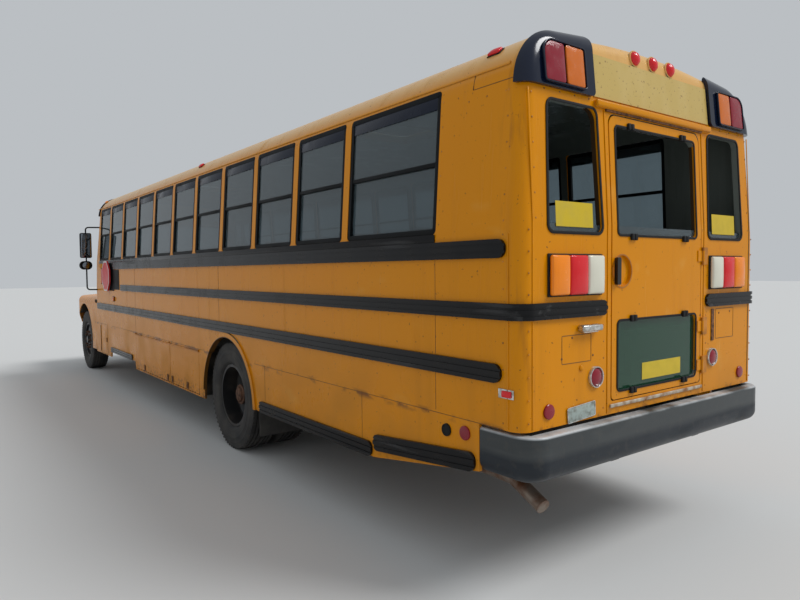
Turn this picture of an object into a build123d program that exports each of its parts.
from build123d import *
import math
import os

# Full-size conventional school bus, in millimetres.
# +Z is up, the bus faces -Y, its left (driver's) side is +X, and the ground under the
# middle of the bus is the origin.

# Driving sizes of the whole bus
WHEELBASE = 6700
FRONT_OVERHANG = 980
REAR_OVERHANG = 3822
LENGTH = FRONT_OVERHANG + WHEELBASE + REAR_OVERHANG
FRONT_FACE_Y = -LENGTH / 2
REAR_FACE_Y = LENGTH / 2
FRONT_AXLE_Y = FRONT_FACE_Y + FRONT_OVERHANG
REAR_AXLE_Y = REAR_FACE_Y - REAR_OVERHANG

# Body shell: cross-section, ends and wall thickness
BODY_HALF_WIDTH = 1205
BODY_BOTTOM_Z = 895
SILL_Z = 1885
ROOF_JOIN_Z = 2738
SHOULDER_LEAN = 66.5
SHOULDER_X = BODY_HALF_WIDTH - SHOULDER_LEAN
SHOULDER_Z = 2898
SHOULDER_RADIUS = 300
CROWN_RISE = 114
CROWN_APEX_Z = SHOULDER_Z + CROWN_RISE
CROWN_RADIUS = 6000
WALL = 40
LEAN = SHOULDER_LEAN / (SHOULDER_Z - SILL_Z)
LEAN_ANGLE = math.degrees(math.atan(LEAN))
REAR_INSET = 70
BODY_REAR_Y = REAR_FACE_Y - REAR_INSET
REAR_BEND_Z = 1945
REAR_HEADER_Z = 2600
REAR_HEADER_STEP = 32
REAR_TOP_STEP = 77
REAR_CORNER_RADIUS = 80
REAR_SPLIT_Y = BODY_REAR_Y - 90
BODY_FRONT_Y = FRONT_AXLE_Y + 1081
WINDSHIELD_BASE_Z = 1480
WINDSHIELD_TOP_Z = 2580
WINDSHIELD_RAKE = 160
FRONT_TOP_STEP = 250
FRONT_CORNER_RADIUS = 120
FRONT_SPLIT_Y = BODY_FRONT_Y + 260

# Floor and its cross sills
FLOOR_TOP_Z = 990
FLOOR_THICKNESS = 50
SILL_DEPTH = 60
SILL_WIDTH = 80
SILL_COUNT = 13
FLOOR_BOTTOM_Z = FLOOR_TOP_Z - FLOOR_THICKNESS
FRAME_TOP_Z = FLOOR_BOTTOM_Z - SILL_DEPTH

# Side windows: the rearmost one is longer, and the driver's is shorter
PILLAR_WIDTH = 70
WINDOW_PITCH = 749
WINDOW_COUNT = 9
FIRST_PILLAR_Y = REAR_FACE_Y - 1681
REAR_WINDOW_LENGTH = 934
WINDOW_BOTTOM_Z = 1905
WINDOW_TOP_Z = 2715
WINDOW_CORNER = 30
FRAME_WIDTH = 32
FRAME_DEPTH = 30
FRAME_FIT = 0.5
SASH_BAR = 36
SASH_SPLIT = 0.56
GLASS = 6
DRIVER_WINDOW_FRONT_Y = BODY_FRONT_Y + 360

# Doors and their running gaps
DOOR_GAP = 6
ENTRY_FRONT_Y = BODY_FRONT_Y + 275
ENTRY_REAR_Y = ENTRY_FRONT_Y + 690
ENTRY_BOTTOM_Z = 350
ENTRY_TOP_Z = 2640
REAR_DOOR_HALF_WIDTH = 480
REAR_DOOR_BOTTOM_Z = 965
REAR_DOOR_TOP_Z = 2560
REAR_DOOR_THICKNESS = 34
REAR_DOOR_FREE_GAP = 10

# Skirt below the side walls
SKIRT_THICKNESS = 20
SKIRT_LOW_Z = 395
SKIRT_REAR_Z = 492
SKIRT_TAIL_Z = 640
SKIRT_STEP_Z = 500
SKIRT_COWL_Z = 420
SKIRT_TAIL_Y = REAR_FACE_Y - 365
SKIRT_KICK_Y = REAR_FACE_Y - 1350
SKIRT_STEP_Y = REAR_AXLE_Y - 3248
SKIRT_COWL_Y = ENTRY_REAR_Y + 16
REAR_ARCH_RADIUS = 605
REAR_ARCH_Z = 476
ARCH_RIM_WIDTH = 46
ARCH_RIM_PROUD = 14

# Side storage doors in the left skirt
STORAGE_FRONT_Y = REAR_AXLE_Y - 3199
STORAGE_SPLIT_Y = REAR_AXLE_Y - 1741
STORAGE_REAR_Y = REAR_AXLE_Y - 765
STORAGE_TOP_Z = 880
STORAGE_BOTTOM_Z = 412
STORAGE_DEPTH = 600

# Rub rails: height of the lowest edge, height, front end and rear end
RAIL_PROUD = 18
RAIL_GROOVE = 7
RAILS = (
    # bottom z, height, front y, rear y
    (1763, 96, BODY_FRONT_Y + 1290, BODY_REAR_Y - 99),
    (1452, 84, BODY_FRONT_Y + 1685, None),
    (1130, 98, BODY_FRONT_Y + 155, BODY_REAR_Y - 128),
)
MID_RAIL_END_X = 530
RAIL_SEAM = 1
RAIL_GROOVES = (
    # start and end as a share of the height
    (0.24, 0.38),
    (0.62, 0.76),
)
SKIRT_RAILS = (
    # front y, bottom z there, rear y, bottom z there, height
    (SKIRT_COWL_Y + 39, SKIRT_STEP_Z, SKIRT_STEP_Y - 140, SKIRT_STEP_Z, 75),
    (REAR_AXLE_Y + 744, SKIRT_REAR_Z, SKIRT_KICK_Y - 10, SKIRT_REAR_Z, 98),
    (SKIRT_KICK_Y + 14, 543, SKIRT_TAIL_Y - 25, 632, 105),
)

# Chassis frame
RAIL_OUTER_X = 470
RAIL_HEIGHT = 254
RAIL_FLANGE = 76
RAIL_WALL = 8
FRAME_BOTTOM_Z = FRAME_TOP_Z - RAIL_HEIGHT
CROSS_BOTTOM_Z = FRAME_BOTTOM_Z + 74
FRAME_FRONT_Y = FRONT_FACE_Y + 150
HORN_INNER_X = 400
HORN_TOP_Z = 778

# Wheels: bead seat, rim width, tyre and dual spacing
TYRE_RADIUS = 516
TYRE_WIDTH = 279
RIM_RADIUS = 286
RIM_WIDTH = 210
RIM_WALL = 12
RIM_FLANGE = 14
HUB_Z = TYRE_RADIUS
FRONT_WHEEL_X = 1012
KINGPIN_X = 880
DUAL_OUTER_X = 1040
DUAL_SPACING = 325
RUNNING_FIT = 0.3

# Hood with its fenders
HOOD_GAP = 8
HOOD_REAR_Y = BODY_FRONT_Y - HOOD_GAP
HOOD_FRONT_Y = FRONT_FACE_Y + 82
HOOD_BOTTOM_Z = 800
HOOD_WALL = 14
FRONT_ARCH_RADIUS = 650
FENDER_HALF_WIDTH = 1180
FENDER_REAR_Z = 430
FENDER_TOP_Z = 1285
HOOD_TOP_Z = 1505
HOOD_PIVOT_Y = HOOD_FRONT_Y + HOOD_WALL
HOOD_PIVOT_Z = 771

# Bumpers
BUMPER_TOP_Z = 878
BUMPER_BOTTOM_Z = 637
BUMPER_WALL = 8
BUMPER_FLANGE = 70
BUMPER_RADIUS = 130
BUMPER_SIDE = 360
BUMPER_ROLL = 70
BUMPER_EDGE = 16
FRONT_BUMPER_TOP_Z = 760
FRONT_BUMPER_BOTTOM_Z = 470
FRONT_BUMPER_DEPTH = 68


# Basic shapes

def block(x0, x1, y0, y1, z0, z1):
    """A box between two corners."""
    return Pos((x0 + x1) / 2, (y0 + y1) / 2, (z0 + z1) / 2) * Box(abs(x1 - x0), abs(y1 - y0), abs(z1 - z0))


def rounded_block(x0, x1, y0, y1, z0, z1, axis, radius):
    """A box whose edges along one axis are rounded."""
    solid = block(x0, x1, y0, y1, z0, z1)
    return fillet(solid.edges().filter_by(axis), radius)


def outline(corners):
    """A face in the XY plane from corners given as u, v, radius."""
    points = [(u, v) for u, v, r in corners]
    radii = [r for u, v, r in corners]
    return make_face(FilletPolyline(points, radius=radii, close=True))


def across(corners, x0, x1):
    """A prism along X whose corners are y, z, radius."""
    return extrude(Plane.YZ.offset(x0) * outline(corners), amount=x1 - x0)


def along(corners, y0, y1):
    """A prism along Y whose corners are x, z, radius."""
    plane = Plane(origin=(0, y1, 0), x_dir=(1, 0, 0), z_dir=(0, -1, 0))
    return extrude(plane * outline(corners), amount=y1 - y0)


def upright(corners, z0, z1):
    """A prism along Z whose corners are x, y, radius."""
    return extrude(Plane.XY.offset(z0) * outline(corners), amount=z1 - z0)


def both_sides(shape):
    """The shape and its mirror image on the other side of the bus."""
    return [shape, mirror(shape, about=Plane.YZ)]


def rod(start, end, radius):
    """A round bar between two points."""
    start, end = Vector(*start), Vector(*end)
    plane = Plane(origin=start, z_dir=end - start)
    return extrude(plane * Circle(radius), amount=(end - start).length)


def tube_path(points, radius, bend):
    """A solid round bar swept along straight runs with rounded bends."""
    path = FilletPolyline(*points, radius=bend)
    section = Plane(origin=path @ 0, z_dir=path % 0) * Circle(radius)
    return sweep(section, path=path)


def turned(corners, y, z):
    """A solid turned about an axle along X, from corners given as x, radius, fillet."""
    plane = Plane(origin=(0, y, z), x_dir=(1, 0, 0), z_dir=(0, -1, 0))
    axis = Axis((0, y, z), (1, 0, 0))
    return revolve(plane * outline(corners), axis=axis)


def ring(x0, x1, inner, outer, y, z):
    """A turned ring or disc about an axle along X."""
    return turned([(x0, inner, 0), (x1, inner, 0), (x1, outer, 0), (x0, outer, 0)], y, z)


# Body shell

def body_section(inset):
    """Half-round roof over walls that lean in above the window sill."""
    right = [
        (BODY_HALF_WIDTH - inset, BODY_BOTTOM_Z, 0),
        (BODY_HALF_WIDTH - inset, SILL_Z, 0),
        (SHOULDER_X - inset, SHOULDER_Z - inset, SHOULDER_RADIUS - inset),
    ]
    left = [(-x, z, r) for x, z, r in reversed(right)]
    return right + [(0, CROWN_APEX_Z - inset, CROWN_RADIUS - inset)] + left


def body_side(inset):
    """Side view of the shell: raked windshield in front, leaning header at the rear."""
    top = CROWN_APEX_Z + 50
    return [
        (BODY_FRONT_Y + inset, BODY_BOTTOM_Z, 0),
        (BODY_REAR_Y - inset, BODY_BOTTOM_Z, 0),
        (BODY_REAR_Y - inset, REAR_BEND_Z, 0),
        (BODY_REAR_Y - REAR_HEADER_STEP - inset, REAR_HEADER_Z, 0),
        (BODY_REAR_Y - REAR_TOP_STEP - inset, top, 0),
        (BODY_FRONT_Y + FRONT_TOP_STEP + inset, top, 0),
        (BODY_FRONT_Y + WINDSHIELD_RAKE + inset, WINDSHIELD_TOP_Z, 0),
        (BODY_FRONT_Y + inset, WINDSHIELD_BASE_Z, 0),
    ]


def end_edges(solid, low, high):
    """The edges round one end of the shell, without the flat bottom and cross seams."""
    found = []
    for edge in solid.edges():
        centre = edge.center()
        seam = abs(centre.X) < 1 and centre.Z < ROOF_JOIN_Z
        if low < centre.Y < high and not seam:
            found.append(edge)
    return found


def envelope(inset):
    """The whole body as one solid, moved in by the inset, with its ends rounded."""
    reach = BODY_HALF_WIDTH + 300
    solid = along(body_section(inset), BODY_FRONT_Y - 10, BODY_REAR_Y + 10)
    solid = solid & across(body_side(inset), -reach, reach)
    solid = fillet(end_edges(solid, BODY_REAR_Y - 130, BODY_REAR_Y + 1), REAR_CORNER_RADIUS - inset)
    front = end_edges(solid, BODY_FRONT_Y - 1, BODY_FRONT_Y + 300)
    return fillet(front, FRONT_CORNER_RADIUS - inset)


def wall_plane(side):
    """The leaning outer face of the window band, with x rearward and y up the wall."""
    normal = Vector(side * math.cos(math.radians(LEAN_ANGLE)), 0, math.sin(math.radians(LEAN_ANGLE)))
    return Plane(origin=(side * BODY_HALF_WIDTH, 0, SILL_Z), x_dir=(0, 1, 0), z_dir=normal)


def band_height(z):
    """Distance up the leaning wall for a height above the ground."""
    return (z - SILL_Z) / math.cos(math.radians(LEAN_ANGLE))


def wall_rectangle(side, front_y, rear_y, low_z, high_z, radius, out, inward):
    """A rounded rectangle on the leaning wall, from `out` outside it to `inward` inside."""
    plane = wall_plane(side)
    low, high = band_height(low_z), band_height(high_z)
    flip = 1 if side > 0 else -1
    corners = [(front_y, low, radius), (rear_y, low, radius), (rear_y, high, radius), (front_y, high, radius)]
    face = outline([(u, v * flip, r) for u, v, r in corners])
    solid = extrude(plane.offset(-inward) * face, amount=out + inward)
    return solid


def pillar_y(number):
    """Centre of a window pillar, counted forward from the longest window."""
    return FIRST_PILLAR_Y - number * WINDOW_PITCH


def window_spans(side):
    """Front and rear edge of each side window, rear window first."""
    half = PILLAR_WIDTH / 2
    rearmost = pillar_y(0) + half
    spans = [(rearmost, rearmost + REAR_WINDOW_LENGTH)]
    for number in range(WINDOW_COUNT):
        spans.append((pillar_y(number + 1) + half, pillar_y(number) - half))
    if side > 0:
        spans.append((DRIVER_WINDOW_FRONT_Y, pillar_y(WINDOW_COUNT) - half))
    return spans


def window_solid(side, front_y, rear_y, margin, out, inward):
    """A solid over one window opening, smaller than it by the margin all round."""
    return wall_rectangle(side, front_y + margin, rear_y - margin, WINDOW_BOTTOM_Z + margin,
                          WINDOW_TOP_Z - margin, max(WINDOW_CORNER - margin, 1), out, inward)


def entry_opening(gap):
    """Straight-sided opening for the entry door, through the right wall and its skirt."""
    reach = BODY_HALF_WIDTH + 200
    return block(-reach, -SHOULDER_X + 130, ENTRY_FRONT_Y + gap, ENTRY_REAR_Y - gap,
                 ENTRY_BOTTOM_Z + gap, ENTRY_TOP_Z - gap)


def side_wall(shell, side):
    """One side wall between the end caps, with its windows cut through."""
    reach = BODY_HALF_WIDTH + 100
    low, high = sorted((side * (SHOULDER_X - 200), side * reach))
    wall = shell & block(low, high, FRONT_SPLIT_Y, REAR_SPLIT_Y, BODY_BOTTOM_Z - 10, ROOF_JOIN_Z)
    for front_y, rear_y in window_spans(side):
        wall = wall - window_solid(side, front_y, rear_y, 0, 50, WALL + 40)
    if side < 0:
        wall = wall - entry_opening(0)
    return wall


HATCH_LENGTH = 620
HATCH_WIDTH = 620
HATCH_Y = (-1500, 3100)
HATCH_CURB = 20
HATCH_CURB_DROP = 8
HATCH_RAISE = 34
HATCH_SHEET_HALF = 490
SHEET_SEAM = 1


def hatch_block(centre_y, margin, low_z, high_z):
    """Upright rounded block over a roof hatch, smaller by the margin."""
    half_x, half_y = HATCH_WIDTH / 2 - margin, HATCH_LENGTH / 2 - margin
    return rounded_block(-half_x, half_x, centre_y - half_y, centre_y + half_y, low_z, high_z, Axis.Z, 60 - margin)


def roof_panel(shell):
    """The roof's sheets between the end caps, with curbs round the two hatch openings."""
    reach = BODY_HALF_WIDTH + 100
    roof = shell & block(-reach, reach, FRONT_SPLIT_Y, REAR_SPLIT_Y, ROOF_JOIN_Z, CROWN_APEX_Z + 50)
    for centre_y in HATCH_Y:
        curb = hatch_block(centre_y, -HATCH_CURB, CROWN_APEX_Z - 75, CROWN_APEX_Z - HATCH_CURB_DROP)
        roof = roof + curb
        roof = roof - hatch_block(centre_y, 0, ROOF_JOIN_Z, CROWN_APEX_Z + 50)
    seams = [sum(HATCH_Y) / 2]
    for centre_y in HATCH_Y:
        seams += [centre_y - HATCH_SHEET_HALF, centre_y + HATCH_SHEET_HALF]
    for y in seams:
        roof = roof - block(-reach, reach, y, y + SHEET_SEAM, ROOF_JOIN_Z - 1, CROWN_APEX_Z + 50)
    return list(roof.solids().sort_by(Axis.Y))


REAR_WINDOW_INNER_X = 560
REAR_WINDOW_OUTER_X = 1010
REAR_WINDOW_LEAN = 25
REAR_WINDOW_TOP_Z = 2565
REAR_GLASS_SET = 14


def rear_window_corners(margin):
    """Left rear window seen from behind: upright inner edge, leaning outer edge."""
    return [
        (REAR_WINDOW_INNER_X + margin, SILL_Z + 10 + margin, 40),
        (REAR_WINDOW_OUTER_X - margin, SILL_Z + 10 + margin, 40),
        (REAR_WINDOW_OUTER_X - REAR_WINDOW_LEAN - margin, REAR_WINDOW_TOP_Z - margin, 50),
        (REAR_WINDOW_INNER_X + REAR_WINDOW_LEAN + margin, REAR_WINDOW_TOP_Z - margin, 70),
    ]


def rear_door_corners(margin, free_margin):
    """The emergency door's outline seen from behind, free edge on the bus's left."""
    return [
        (-REAR_DOOR_HALF_WIDTH + margin, REAR_DOOR_BOTTOM_Z + margin, 25),
        (REAR_DOOR_HALF_WIDTH - free_margin, REAR_DOOR_BOTTOM_Z + margin, 25),
        (REAR_DOOR_HALF_WIDTH - free_margin, REAR_DOOR_TOP_Z - margin, 60),
        (-REAR_DOOR_HALF_WIDTH + margin, REAR_DOOR_TOP_Z - margin, 60),
    ]


def rear_cap(shell):
    """The rear end of the body with its door opening and two fixed windows."""
    reach = BODY_HALF_WIDTH + 100
    cap = shell & block(-reach, reach, REAR_SPLIT_Y, BODY_REAR_Y + 50, BODY_BOTTOM_Z - 10, CROWN_APEX_Z + 50)
    deep, proud = REAR_SPLIT_Y - 50, BODY_REAR_Y + 50
    cap = cap - along(rear_door_corners(0, 0), deep, proud)
    for opening in both_sides(along(rear_window_corners(0), deep, proud)):
        cap = cap - opening
    return cap


WINDSHIELD_HALF_WIDTH = 1050
WINDSHIELD_LOW_Z = 1560
WINDSHIELD_HIGH_Z = 2520


def windshield_corners(margin):
    """Windshield opening seen from the front."""
    half = WINDSHIELD_HALF_WIDTH - margin
    return [
        (-half, WINDSHIELD_LOW_Z + margin, 80),
        (half, WINDSHIELD_LOW_Z + margin, 80),
        (half - 30, WINDSHIELD_HIGH_Z - margin, 90),
        (-half + 30, WINDSHIELD_HIGH_Z - margin, 90),
    ]


def front_cap(shell):
    """The front end of the body: cowl, windshield frame and header."""
    reach = BODY_HALF_WIDTH + 100
    cap = shell & block(-reach, reach, BODY_FRONT_Y - 50, FRONT_SPLIT_Y, BODY_BOTTOM_Z - 10, CROWN_APEX_Z + 50)
    return cap - along(windshield_corners(0), BODY_FRONT_Y - 50, FRONT_SPLIT_Y + 20)


def shell_layer(outer, inner):
    """The space between two insets of the body, for skins, glass and pods."""
    return envelope(outer) - envelope(inner)


# Floor, frame and steps

WHEELHOUSE_INNER_X = 545
WHEELHOUSE_HALF_LENGTH = 560
WHEELHOUSE_TOP_Z = 1100
WHEELHOUSE_SHEET = 8
STEP_OUTER_X = 1108
STEP_INNER_X = 560
STEP_REAR_Y = ENTRY_REAR_Y - 20
STEP_FRONT_Y = ENTRY_FRONT_Y + 20
STEP_RISE = 213
STEP_RUN = 205
STEP_SHEET = 10
FLOOR_SEAM_Y = ENTRY_REAR_Y + 85


def floor_panel():
    """Two floor decks with cross sills, cut out over the entry steps and the wheels."""
    inner = BODY_HALF_WIDTH - WALL
    front, rear = BODY_FRONT_Y + WALL, BODY_REAR_Y - WALL
    front_radius, rear_radius = FRONT_CORNER_RADIUS - WALL, REAR_CORNER_RADIUS - WALL
    plan = [(-inner, front, front_radius), (inner, front, front_radius), (inner, rear, rear_radius),
            (-inner, rear, rear_radius)]
    floor = upright(plan, FLOOR_BOTTOM_Z, FLOOR_TOP_Z)
    first, last = FRONT_SPLIT_Y + 120, REAR_SPLIT_Y - 60
    for number in range(SILL_COUNT):
        centre = first + (last - first) * number / (SILL_COUNT - 1)
        floor = floor + block(-inner, inner, centre - SILL_WIDTH / 2, centre + SILL_WIDTH / 2,
                              FRAME_TOP_Z, FLOOR_BOTTOM_Z)
    well = block(-inner - 1, -STEP_INNER_X, STEP_FRONT_Y, STEP_REAR_Y, FRAME_TOP_Z - 1, FLOOR_TOP_Z + 1)
    sill = block(-inner - 1, -STEP_OUTER_X - 2, ENTRY_FRONT_Y, ENTRY_REAR_Y, FRAME_TOP_Z - 1, FLOOR_TOP_Z + 1)
    floor = floor - well - sill
    for low_x, high_x in ((-inner - 1, -WHEELHOUSE_INNER_X), (WHEELHOUSE_INNER_X, inner + 1)):
        floor = floor - wheelhouse_block(low_x, high_x, 0)
    for side in (-1, 1):
        floor = floor - wheelhouse_inside(side)
    seam = block(-inner - 1, inner + 1, FLOOR_SEAM_Y, FLOOR_SEAM_Y + SHEET_SEAM, FRAME_TOP_Z - 1, FLOOR_TOP_Z + 1)
    return list((floor - seam).solids().sort_by(Axis.Y))


def wheelhouses():
    """Sheet humps over the twin wheels, set into the floor against the side walls."""
    house = wheelhouse_block(WHEELHOUSE_INNER_X, BODY_HALF_WIDTH - WALL, 0) - wheelhouse_inside(1)
    return both_sides(house)


def wheelhouse_inside(side):
    """The space for the wheels under one hump."""
    low_x, high_x = sorted((side * (WHEELHOUSE_INNER_X + WHEELHOUSE_SHEET), side * (BODY_HALF_WIDTH - WALL + 1)))
    return wheelhouse_block(low_x, high_x, WHEELHOUSE_SHEET)


def wheelhouse_block(low_x, high_x, margin):
    """Rounded hump over the twin wheels, smaller by the sheet's thickness."""
    half = WHEELHOUSE_HALF_LENGTH - margin
    bottom = FLOOR_BOTTOM_Z - SILL_DEPTH - (1 if margin else -SILL_DEPTH)
    corners = [(REAR_AXLE_Y - half, bottom, 0), (REAR_AXLE_Y + half, bottom, 0),
               (REAR_AXLE_Y + half, WHEELHOUSE_TOP_Z - margin, 90), (REAR_AXLE_Y - half, WHEELHOUSE_TOP_Z - margin, 90)]
    return across(corners, low_x, high_x)


def entry_steps():
    """Folded sheet steps from the entry door up to the floor."""
    outer = -STEP_OUTER_X
    profile = [(outer, ENTRY_BOTTOM_Z, 0)]
    x, z = outer, ENTRY_BOTTOM_Z
    top = [(outer, ENTRY_BOTTOM_Z + STEP_SHEET, 0)]
    for number in range(3):
        x = x + STEP_RUN if number < 2 else -STEP_INNER_X
        profile.append((x, z, 0))
        top.append((x - STEP_SHEET, z + STEP_SHEET, 0))
        if number < 2:
            z = z + STEP_RISE
            profile.append((x, z, 0))
            top.append((x - STEP_SHEET, z + STEP_SHEET, 0))
    profile.append((-STEP_INNER_X, FLOOR_TOP_Z, 0))
    top.append((-STEP_INNER_X - STEP_SHEET, FLOOR_TOP_Z, 0))
    treads = along(profile + list(reversed(top)), STEP_FRONT_Y, STEP_REAR_Y)
    sides = [along([(outer, ENTRY_BOTTOM_Z, 0), (outer, FLOOR_TOP_Z, 0), (-STEP_INNER_X, FLOOR_TOP_Z, 0),
                    (-STEP_INNER_X, z, 0), (outer + STEP_RUN, ENTRY_BOTTOM_Z, 0)], low, high)
             for low, high in ((STEP_FRONT_Y, STEP_FRONT_Y + STEP_SHEET), (STEP_REAR_Y - STEP_SHEET, STEP_REAR_Y))]
    return treads + sides[0] + sides[1]


CROSS_MEMBER_Y = (FRONT_AXLE_Y + 1671, FRONT_AXLE_Y + 3271, REAR_AXLE_Y - 1929, REAR_AXLE_Y - 679,
                  REAR_AXLE_Y + 771, REAR_AXLE_Y + 2271, REAR_AXLE_Y + 3471)
SPRING_HALF_LENGTH = 700
FRONT_SPRING_X = 432
REAR_SPRING_X = 514
SPRING_WIDTH = 76
FRONT_SPRING_TOP_Z = 600
REAR_SPRING_TOP_Z = 690


def channel():
    """The left C-section frame rail, open to the middle of the bus."""
    outer, inner = RAIL_OUTER_X, RAIL_OUTER_X - RAIL_FLANGE
    profile = [
        (inner, FRAME_BOTTOM_Z, 0), (outer, FRAME_BOTTOM_Z, 0), (outer, FRAME_TOP_Z, 0), (inner, FRAME_TOP_Z, 0),
        (inner, FRAME_TOP_Z - RAIL_WALL, 0), (outer - RAIL_WALL, FRAME_TOP_Z - RAIL_WALL, 0),
        (outer - RAIL_WALL, FRAME_BOTTOM_Z + RAIL_WALL, 0), (inner, FRAME_BOTTOM_Z + RAIL_WALL, 0),
    ]
    return along(profile, FRAME_FRONT_Y, REAR_FACE_Y - BUMPER_FLANGE)


def ladder_frame():
    """Two frame rails with their brackets for springs and hood, and the cross members between them."""
    web = RAIL_OUTER_X - RAIL_WALL
    members = [block(-web, web, centre - 35, centre + 35, CROSS_BOTTOM_Z, FRAME_TOP_Z - RAIL_WALL)
               for centre in CROSS_MEMBER_Y]
    members += [block(-web, web, centre - 50, centre + 50, FRAME_BOTTOM_Z + RAIL_WALL, ENGINE_BOTTOM_Z)
                for centre in (ENGINE_FRONT_Y + 150, RADIATOR_Y)]
    rail = channel()
    for end in (-1, 1):
        middle = FRONT_AXLE_Y + end * (SPRING_HALF_LENGTH - 40)
        rail = rail + block(FRONT_SPRING_X - 38, FRONT_SPRING_X + 38, middle - 40, middle + 40,
                            FRONT_SPRING_TOP_Z, FRAME_BOTTOM_Z)
        middle = REAR_AXLE_Y + end * (SPRING_HALF_LENGTH - 40)
        rail = rail + block(RAIL_OUTER_X, REAR_SPRING_X + 38, middle - 40, middle + 40,
                            REAR_SPRING_TOP_Z, REAR_SPRING_TOP_Z + 80)
    rail = rail + block(HORN_INNER_X, RAIL_OUTER_X, FRONT_FACE_Y + FRONT_BUMPER_DEPTH, FRAME_FRONT_Y + 40,
                        FRAME_BOTTOM_Z, HORN_TOP_Z)
    rail = rail + rod((RAIL_OUTER_X - 10, HOOD_PIVOT_Y, HOOD_PIVOT_Z),
                      (RAIL_OUTER_X + 30, HOOD_PIVOT_Y, HOOD_PIVOT_Z), HOOD_PIN_RADIUS)
    return both_sides(rail) + members


HOOD_PIN_RADIUS = 6
HOOD_LUG_INNER_X = RAIL_OUTER_X + 8
HOOD_LUG_OUTER_X = RAIL_OUTER_X + 24


def hood_lugs():
    """Two lugs under the hood's front edge, bored for the pivot pins."""
    y, z = HOOD_PIVOT_Y, HOOD_PIVOT_Z
    lug = block(HOOD_LUG_INNER_X, HOOD_LUG_OUTER_X, y - 12, y + 12, z, HOOD_BOTTOM_Z + 30)
    lug = lug + rod((HOOD_LUG_INNER_X, y, z), (HOOD_LUG_OUTER_X, y, z), 14)
    lug = lug + block(HOOD_LUG_INNER_X, HOOD_LUG_OUTER_X, y - 6, y + 12, HOOD_BOTTOM_Z + 2, HOOD_BOTTOM_Z + 60)
    return lug - rod((HOOD_LUG_INNER_X - 1, y, z), (HOOD_LUG_OUTER_X + 1, y, z), HOOD_PIN_RADIUS + RUNNING_FIT)


# Axles, springs, engine and driveline

ENGINE_FRONT_Y = FRONT_AXLE_Y - 209
ENGINE_REAR_Y = FRONT_AXLE_Y + 811
ENGINE_BOTTOM_Z = 700
GEARBOX_REAR_Y = FRONT_AXLE_Y + 1441
SHAFT_Z = 560
RADIATOR_Y = FRONT_FACE_Y + 321
BEAM_Z = 425
BEAM_HALF_HEIGHT = 45
KNUCKLE_BOSS = 45
KINGPIN_RADIUS = 22
SPINDLE_RADIUS = 38


def leaf_spring(centre_x, centre_y, seat_z, eye_z):
    """A pack of five leaves bowed down to the axle, each shorter than the one above."""
    thickness = 14
    pack = None
    for leaf in range(5):
        half = SPRING_HALF_LENGTH * (1 - 0.14 * leaf)
        rise = (eye_z - thickness - (seat_z + 4 * thickness)) * (half / SPRING_HALF_LENGTH) ** 2
        low = seat_z + (4 - leaf) * thickness
        middle = (centre_y, low)
        start, end = (centre_y - half, low + rise), (centre_y + half, low + rise)
        lower = ThreePointArc(start, middle, end)
        upper = ThreePointArc((start[0], start[1] + thickness), (middle[0], middle[1] + thickness),
                              (end[0], end[1] + thickness))
        edges = lower + Line(lower @ 1, upper @ 1) + upper + Line(upper @ 0, lower @ 0)
        face = make_face(edges)
        blade = extrude(Plane.YZ.offset(centre_x - SPRING_WIDTH / 2) * face, amount=SPRING_WIDTH)
        pack = blade if pack is None else pack + blade
    return pack


def front_axle():
    """Dropped beam, kingpins and the two leaf springs that carry the frame."""
    y = FRONT_AXLE_Y
    low, high = BEAM_Z - BEAM_HALF_HEIGHT, BEAM_Z + BEAM_HALF_HEIGHT
    eye = KINGPIN_X - 30
    half = [(0, low, 0), (620, low, 60), (eye, HUB_Z - 30, 0), (eye, HUB_Z + 40, 0), (600, high, 60), (0, high, 0)]
    left = along(half, y - 38, y + 38)
    axle = left + mirror(left, about=Plane.YZ)
    for side in (-1, 1):
        axle = axle + rod((side * KINGPIN_X, y, HUB_Z - 45), (side * KINGPIN_X, y, HUB_Z + 45), KNUCKLE_BOSS)
        axle = axle + rod((side * KINGPIN_X, y, HUB_Z - 84), (side * KINGPIN_X, y, HUB_Z + 84), KINGPIN_RADIUS)
        axle = axle + leaf_spring(side * FRONT_SPRING_X, y, high, FRONT_SPRING_TOP_Z)
        axle = axle + block(side * FRONT_SPRING_X - 45, side * FRONT_SPRING_X + 45, y - 60, y + 60, high - 10, high + 8)
    return axle


def knuckle(side):
    """Forked steering knuckle with its spindle."""
    y = FRONT_AXLE_Y
    inner, web, outer = KINGPIN_X - 42, KINGPIN_X + 50, KINGPIN_X + 70
    arm_gap, arm = 50, 30
    fork = block(inner, web, y - 42, y + 42, HUB_Z + arm_gap, HUB_Z + arm_gap + arm)
    fork = fork + block(inner, web, y - 42, y + 42, HUB_Z - arm_gap - arm, HUB_Z - arm_gap)
    fork = fork + block(web, outer, y - 60, y + 60, HUB_Z - arm_gap - arm, HUB_Z + arm_gap + arm)
    fork = fork + rod((outer, y, HUB_Z), (FRONT_WHEEL_X + 105, y, HUB_Z), SPINDLE_RADIUS)
    fork = fork - rod((KINGPIN_X, y, HUB_Z - 90), (KINGPIN_X, y, HUB_Z + 90), KINGPIN_RADIUS + RUNNING_FIT)
    return fork if side > 0 else mirror(fork, about=Plane.YZ)


AXLE_TUBE = 60
AXLE_SPINDLE = 45
DIFF_RADIUS = 190
PINION_LENGTH = 300


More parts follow.
